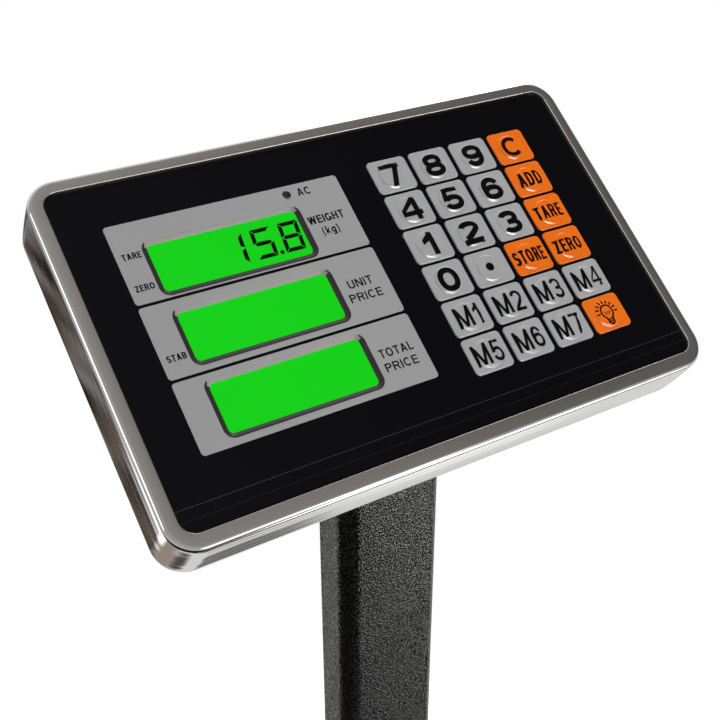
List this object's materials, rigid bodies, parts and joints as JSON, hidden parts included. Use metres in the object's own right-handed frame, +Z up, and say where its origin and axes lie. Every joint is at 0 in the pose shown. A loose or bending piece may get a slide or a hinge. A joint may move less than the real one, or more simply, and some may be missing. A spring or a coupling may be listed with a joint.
{
  "type": "retail price scale",
  "caption": "Price-computing platform scale: tilting steel indicator head with keys and three displays on a folding column over a weighing platter.",
  "frame": {"origin": "centre of the footprint on the floor", "axes": "+Z up, -Y towards the operator and the front of the platter, +X to the operator's right"},
  "size_m": [0.4, 0.6032, 0.8829],
  "materials": {
    "pan_steel": "satin brushed stainless steel, polished along its edges",
    "platter_steel": "brushed stainless steel sheet",
    "overlay_film": "gloss black printed film",
    "key_grey": "silver grey satin film",
    "key_orange": "orange satin film",
    "display_green": "backlit green liquid crystal display",
    "frame_grey": "moulded grey plastic",
    "backlight": "milky light guide",
    "board_green": "solder-masked circuit board",
    "dome_metal": "snap domes",
    "cover_black": "moulded black plastic with a fine texture",
    "battery_case": "dark grey battery case",
    "zinc_steel": "zinc-plated steel",
    "switch_black": "gloss black plastic",
    "rocker_red": "translucent red plastic",
    "lamp_lens": "dark lamp lens",
    "hammer_coat": "charcoal hammered powder coat",
    "frame_black": "satin black powder coat",
    "knob_black": "black moulded plastic",
    "cell_aluminium": "milled aluminium",
    "rubber": "black rubber",
    "cable_black": "black cable jacket"
  },
  "bodies": {
    "base": {"fold_bracket": "hammer_coat", "fold_bolt": "zinc_steel", "base_frame": "hammer_coat", "base_bolts": "zinc_steel", "foot_pads": "rubber", "load_cell": "cell_aluminium", "top_frame": "hammer_coat", "platter_buffers": "rubber", "base_cable": "cable_black"},
    "platter": {"platter": "platter_steel"},
    "column": {"column_tube": "hammer_coat", "column_cap": "knob_black", "column_sleeves": "zinc_steel", "column_cable": "cable_black", "tilt_bolt": "zinc_steel"},
    "head": {"head_pan": "pan_steel", "overlay_panel": "overlay_film", "ac_lamp": "lamp_lens", "display_frame": "frame_grey", "weight_display": "display_green", "unit_price_display": "display_green", "total_price_display": "display_green", "backlights": "backlight", "display_board": "board_green", "key_board": "board_green", "key_domes": "dome_metal", "back_cover": "cover_black", "battery": "battery_case", "battery_door": "cover_black", "head_screws": "zinc_steel", "power_switch": "switch_black", "charge_socket": "switch_black", "tilt_bracket": "frame_black"},
    "tilt_knob": {"tilt_knob": "knob_black"},
    "fold_knob": {"fold_knob": "knob_black"},
    "power_rocker": {"power_rocker": "rocker_red"},
    "key_7": {"key_7": "key_grey"},
    "key_8": {"key_8": "key_grey"},
    "key_9": {"key_9": "key_grey"},
    "key_c": {"key_c": "key_orange"},
    "key_4": {"key_4": "key_grey"},
    "key_5": {"key_5": "key_grey"},
    "key_6": {"key_6": "key_grey"},
    "key_add": {"key_add": "key_orange"},
    "key_1": {"key_1": "key_grey"},
    "key_2": {"key_2": "key_grey"},
    "key_3": {"key_3": "key_grey"},
    "key_tare": {"key_tare": "key_orange"},
    "key_0": {"key_0": "key_grey"},
    "key_point": {"key_point": "key_grey"},
    "key_store": {"key_store": "key_orange"},
    "key_zero": {"key_zero": "key_orange"},
    "key_m1": {"key_m1": "key_grey"},
    "key_m2": {"key_m2": "key_grey"},
    "key_m3": {"key_m3": "key_grey"},
    "key_m4": {"key_m4": "key_grey"},
    "key_m5": {"key_m5": "key_grey"},
    "key_m6": {"key_m6": "key_grey"},
    "key_m7": {"key_m7": "key_grey"},
    "key_light": {"key_light": "key_orange"}
  },
  "joints": [
    {"name": "column_fold", "type": "hinge", "parent": "base", "child": "column", "pos_m": [0, 0.2267, 0.132], "axis": [1, 0, 0], "range_deg": [0, 90]},
    {"name": "head_tilt", "type": "hinge", "parent": "column", "child": "head", "pos_m": [0, 0.2267, 0.74801], "axis": [1, 0, 0], "range_deg": [-24, 24]},
    {"name": "platter_lift", "type": "slide", "parent": "base", "child": "platter", "axis": [0, 0, -1], "range_m": [-0.03, 0]},
    {"name": "tilt_knob_turn", "type": "hinge", "parent": "column", "child": "tilt_knob", "pos_m": [0, 0.2267, 0.74801], "axis": [1, 0, 0], "range_deg": [0, 360]},
    {"name": "fold_knob_turn", "type": "hinge", "parent": "base", "child": "fold_knob", "pos_m": [0, 0.2267, 0.172], "axis": [1, 0, 0], "range_deg": [0, 360]},
    {"name": "power_rocker_tilt", "type": "hinge", "parent": "head", "child": "power_rocker", "pos_m": [0.1205, 0.23165, 0.81156], "axis": [1, 0, 0], "range_deg": [0, 16]},
    {"name": "key_7_press", "type": "slide", "parent": "head", "child": "key_7", "axis": [0, 0.5976, -0.8018], "range_m": [0, 0.0004], "stiffness_N_per_m": 2500, "springref_m": -0.0004},
    {"name": "key_8_press", "type": "slide", "parent": "head", "child": "key_8", "axis": [0, 0.5976, -0.8018], "range_m": [0, 0.0004], "stiffness_N_per_m": 2500, "springref_m": -0.0004},
    {"name": "key_9_press", "type": "slide", "parent": "head", "child": "key_9", "axis": [0, 0.5976, -0.8018], "range_m": [0, 0.0004], "stiffness_N_per_m": 2500, "springref_m": -0.0004},
    {"name": "key_c_press", "type": "slide", "parent": "head", "child": "key_c", "axis": [0, 0.5976, -0.8018], "range_m": [0, 0.0004], "stiffness_N_per_m": 2500, "springref_m": -0.0004},
    {"name": "key_4_press", "type": "slide", "parent": "head", "child": "key_4", "axis": [0, 0.5976, -0.8018], "range_m": [0, 0.0004], "stiffness_N_per_m": 2500, "springref_m": -0.0004},
    {"name": "key_5_press", "type": "slide", "parent": "head", "child": "key_5", "axis": [0, 0.5976, -0.8018], "range_m": [0, 0.0004], "stiffness_N_per_m": 2500, "springref_m": -0.0004},
    {"name": "key_6_press", "type": "slide", "parent": "head", "child": "key_6", "axis": [0, 0.5976, -0.8018], "range_m": [0, 0.0004], "stiffness_N_per_m": 2500, "springref_m": -0.0004},
    {"name": "key_add_press", "type": "slide", "parent": "head", "child": "key_add", "axis": [0, 0.5976, -0.8018], "range_m": [0, 0.0004], "stiffness_N_per_m": 2500, "springref_m": -0.0004},
    {"name": "key_1_press", "type": "slide", "parent": "head", "child": "key_1", "axis": [0, 0.5976, -0.8018], "range_m": [0, 0.0004], "stiffness_N_per_m": 2500, "springref_m": -0.0004},
    {"name": "key_2_press", "type": "slide", "parent": "head", "child": "key_2", "axis": [0, 0.5976, -0.8018], "range_m": [0, 0.0004], "stiffness_N_per_m": 2500, "springref_m": -0.0004},
    {"name": "key_3_press", "type": "slide", "parent": "head", "child": "key_3", "axis": [0, 0.5976, -0.8018], "range_m": [0, 0.0004], "stiffness_N_per_m": 2500, "springref_m": -0.0004},
    {"name": "key_tare_press", "type": "slide", "parent": "head", "child": "key_tare", "axis": [0, 0.5976, -0.8018], "range_m": [0, 0.0004], "stiffness_N_per_m": 2500, "springref_m": -0.0004},
    {"name": "key_0_press", "type": "slide", "parent": "head", "child": "key_0", "axis": [0, 0.5976, -0.8018], "range_m": [0, 0.0004], "stiffness_N_per_m": 2500, "springref_m": -0.0004},
    {"name": "key_point_press", "type": "slide", "parent": "head", "child": "key_point", "axis": [0, 0.5976, -0.8018], "range_m": [0, 0.0004], "stiffness_N_per_m": 2500, "springref_m": -0.0004},
    {"name": "key_store_press", "type": "slide", "parent": "head", "child": "key_store", "axis": [0, 0.5976, -0.8018], "range_m": [0, 0.0004], "stiffness_N_per_m": 2500, "springref_m": -0.0004},
    {"name": "key_zero_press", "type": "slide", "parent": "head", "child": "key_zero", "axis": [0, 0.5976, -0.8018], "range_m": [0, 0.0004], "stiffness_N_per_m": 2500, "springref_m": -0.0004},
    {"name": "key_m1_press", "type": "slide", "parent": "head", "child": "key_m1", "axis": [0, 0.5976, -0.8018], "range_m": [0, 0.0004], "stiffness_N_per_m": 2500, "springref_m": -0.0004},
    {"name": "key_m2_press", "type": "slide", "parent": "head", "child": "key_m2", "axis": [0, 0.5976, -0.8018], "range_m": [0, 0.0004], "stiffness_N_per_m": 2500, "springref_m": -0.0004},
    {"name": "key_m3_press", "type": "slide", "parent": "head", "child": "key_m3", "axis": [0, 0.5976, -0.8018], "range_m": [0, 0.0004], "stiffness_N_per_m": 2500, "springref_m": -0.0004},
    {"name": "key_m4_press", "type": "slide", "parent": "head", "child": "key_m4", "axis": [0, 0.5976, -0.8018], "range_m": [0, 0.0004], "stiffness_N_per_m": 2500, "springref_m": -0.0004},
    {"name": "key_m5_press", "type": "slide", "parent": "head", "child": "key_m5", "axis": [0, 0.5976, -0.8018], "range_m": [0, 0.0004], "stiffness_N_per_m": 2500, "springref_m": -0.0004},
    {"name": "key_m6_press", "type": "slide", "parent": "head", "child": "key_m6", "axis": [0, 0.5976, -0.8018], "range_m": [0, 0.0004], "stiffness_N_per_m": 2500, "springref_m": -0.0004},
    {"name": "key_m7_press", "type": "slide", "parent": "head", "child": "key_m7", "axis": [0, 0.5976, -0.8018], "range_m": [0, 0.0004], "stiffness_N_per_m": 2500, "springref_m": -0.0004},
    {"name": "key_light_press", "type": "slide", "parent": "head", "child": "key_light", "axis": [0, 0.5976, -0.8018], "range_m": [0, 0.0004], "stiffness_N_per_m": 2500, "springref_m": -0.0004}
  ]
}
